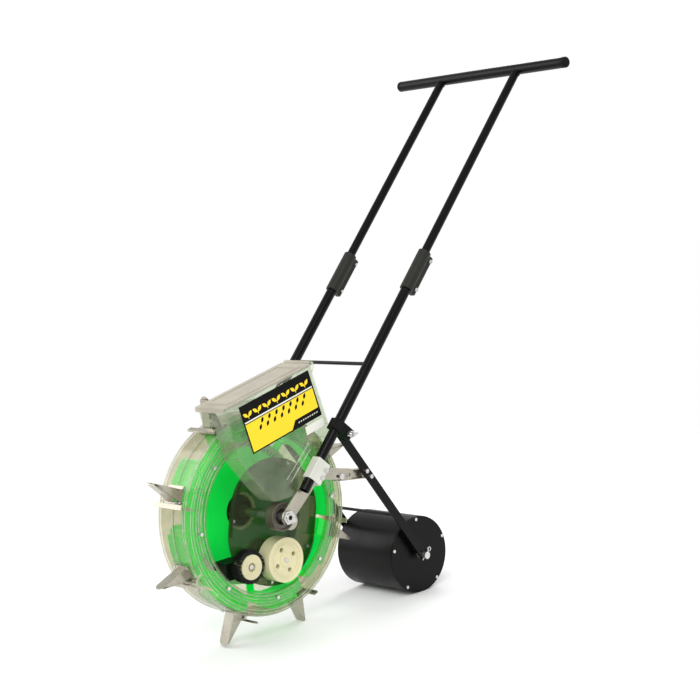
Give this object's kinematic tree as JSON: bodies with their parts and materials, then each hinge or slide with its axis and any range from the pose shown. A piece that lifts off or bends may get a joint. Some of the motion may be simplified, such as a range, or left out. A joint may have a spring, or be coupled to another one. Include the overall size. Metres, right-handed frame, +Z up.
{
  "type": "push seeder",
  "caption": "Walk-behind push seeder with a clear planting wheel of hinged mouths, a side hopper, a telescoping handle and a press roller.",
  "frame": {"origin": "centre of the planting wheel on its axle", "axes": "+X along the axle to the open side of the wheel, -Y the way the machine travels, +Z up"},
  "size_m": [0.536, 1.0988, 1.1496],
  "materials": {
    "clear_plastic": "gloss",
    "smoky_plastic": "gloss",
    "green_plastic": "gloss",
    "galvanised": "satin",
    "bright_steel": "polished",
    "black_paint": "satin",
    "black_plastic": "matte",
    "coupler_plastic": "matte",
    "dark_metal": "satin",
    "cream_plastic": "satin",
    "white_plastic": "satin",
    "frosted_lid": "satin",
    "brush_hair": "matte",
    "label_print": "satin",
    "sticker_paper": "matte"
  },
  "bodies": {
    "frame": {"axle_tube": "bright_steel", "axle_nuts": "bright_steel", "side_plate_near": "galvanised", "side_plate_far": "galvanised", "lower_tubes": "black_paint", "saddles": "cream_plastic", "pivot_lugs": "black_plastic", "cross_rod": "black_paint", "couplers": "coupler_plastic", "frame_bolts": "bright_steel", "hopper_body": "clear_plastic", "hopper_label": "label_print", "hopper_sticker": "sticker_paper", "lid_hinge_pin": "bright_steel", "chamber_plate": "smoky_plastic", "chamber_bolts": "bright_steel", "seed_wiper": "black_plastic", "hub_ring": "dark_metal", "hub_plate": "galvanised", "brush_pin": "bright_steel", "wing_nuts": "bright_steel"},
    "wheel": {"wheel_shell_far": "clear_plastic", "wheel_shell_near": "clear_plastic", "wheel_hub": "black_plastic", "wheel_bearings": "bright_steel", "wheel_bolts": "bright_steel", "seed_guide": "green_plastic", "seed_cups": "green_plastic", "ring_gear": "white_plastic", "fixed_jaws": "galvanised", "jaw_screws": "bright_steel", "jaw_pins": "bright_steel", "jaw_springs": "bright_steel"},
    "lid": {"hopper_lid": "frosted_lid"},
    "metering": {"seed_roller": "cream_plastic", "seed_shaft": "bright_steel", "seed_pinion": "white_plastic"},
    "brush": {"brush_core": "cream_plastic", "brush_hair": "brush_hair"},
    "handle": {"upper_tubes": "black_paint", "handle_bar": "black_paint", "bar_end_caps": "black_plastic"},
    "roller_arms": {"arm_near": "black_paint", "arm_far": "black_paint", "arm_rod": "black_paint", "roller_stay": "galvanised", "arm_bolts": "bright_steel", "roller_axle": "bright_steel", "spring_clips": "bright_steel"},
    "press_roller": {"roller_shell": "black_paint", "roller_caps": "black_paint", "roller_screws": "bright_steel"},
    "jaw_a": {"moving_jaw_a": "galvanised"},
    "jaw_b": {"moving_jaw_b": "galvanised"},
    "jaw_c": {"moving_jaw_c": "galvanised"},
    "jaw_d": {"moving_jaw_d": "galvanised"},
    "jaw_e": {"moving_jaw_e": "galvanised"},
    "jaw_f": {"moving_jaw_f": "galvanised"},
    "jaw_g": {"moving_jaw_g": "galvanised"},
    "jaw_h": {"moving_jaw_h": "galvanised"}
  },
  "joints": [
    {"name": "wheel_spin", "type": "hinge", "parent": "frame", "child": "wheel", "pos_m": [0, 0, 0], "axis": [1, 0, 0], "continuous": true},
    {"name": "seed_roller_spin", "type": "hinge", "parent": "frame", "child": "metering", "pos_m": [0.03, 0.02328, -0.10085], "axis": [1, 0, 0], "continuous": true},
    {"name": "brush_spin", "type": "hinge", "parent": "frame", "child": "brush", "pos_m": [0.03, -0.0615, -0.096], "axis": [1, 0, 0], "continuous": true},
    {"name": "lid_hinge", "type": "hinge", "parent": "frame", "child": "lid", "pos_m": [0.06, 0.1145, 0.3005], "axis": [1, 0, 0], "range_deg": [-100, 0]},
    {"name": "handle_slide", "type": "slide", "parent": "frame", "child": "handle", "axis": [0, 0.6871, 0.7266], "range_m": [-0.1, 0.06]},
    {"name": "arm_swing", "type": "hinge", "parent": "frame", "child": "roller_arms", "pos_m": [0, 0.172, 0.141], "axis": [1, 0, 0], "range_deg": [-6, 14]},
    {"name": "roller_spin", "type": "hinge", "parent": "roller_arms", "child": "press_roller", "pos_m": [0, 0.38, -0.1737], "axis": [1, 0, 0], "continuous": true},
    {"name": "jaw_a_open", "type": "hinge", "parent": "wheel", "child": "jaw_a", "pos_m": [0, -0.20606, 0.06695], "axis": [1, 0, 0], "range_deg": [0, 18], "stiffness_Nm_per_rad": 0.6, "springref_deg": -20.05},
    {"name": "jaw_b_open", "type": "hinge", "parent": "wheel", "child": "jaw_b", "pos_m": [0, -0.19305, -0.09837], "axis": [1, 0, 0], "range_deg": [0, 18], "stiffness_Nm_per_rad": 0.6, "springref_deg": -20.05},
    {"name": "jaw_c_open", "type": "hinge", "parent": "wheel", "child": "jaw_c", "pos_m": [0, -0.06695, -0.20606], "axis": [1, 0, 0], "range_deg": [0, 18], "stiffness_Nm_per_rad": 0.6, "springref_deg": -20.05},
    {"name": "jaw_d_open", "type": "hinge", "parent": "wheel", "child": "jaw_d", "pos_m": [0, 0.09837, -0.19305], "axis": [1, 0, 0], "range_deg": [0, 18], "stiffness_Nm_per_rad": 0.6, "springref_deg": -20.05},
    {"name": "jaw_e_open", "type": "hinge", "parent": "wheel", "child": "jaw_e", "pos_m": [0, 0.20606, -0.06695], "axis": [1, 0, 0], "range_deg": [0, 18], "stiffness_Nm_per_rad": 0.6, "springref_deg": -20.05},
    {"name": "jaw_f_open", "type": "hinge", "parent": "wheel", "child": "jaw_f", "pos_m": [0, 0.19305, 0.09837], "axis": [1, 0, 0], "range_deg": [0, 18], "stiffness_Nm_per_rad": 0.6, "springref_deg": -20.05},
    {"name": "jaw_g_open", "type": "hinge", "parent": "wheel", "child": "jaw_g", "pos_m": [0, 0.06695, 0.20606], "axis": [1, 0, 0], "range_deg": [0, 18], "stiffness_Nm_per_rad": 0.6, "springref_deg": -20.05},
    {"name": "jaw_h_open", "type": "hinge", "parent": "wheel", "child": "jaw_h", "pos_m": [0, -0.09837, 0.19305], "axis": [1, 0, 0], "range_deg": [0, 18], "stiffness_Nm_per_rad": 0.6, "springref_deg": -20.05}
  ],
  "couplings": [
    {"joint": "seed_roller_spin", "follows": "wheel_spin", "ratio": 4},
    {"joint": "brush_spin", "follows": "wheel_spin", "ratio": -5.2222}
  ]
}
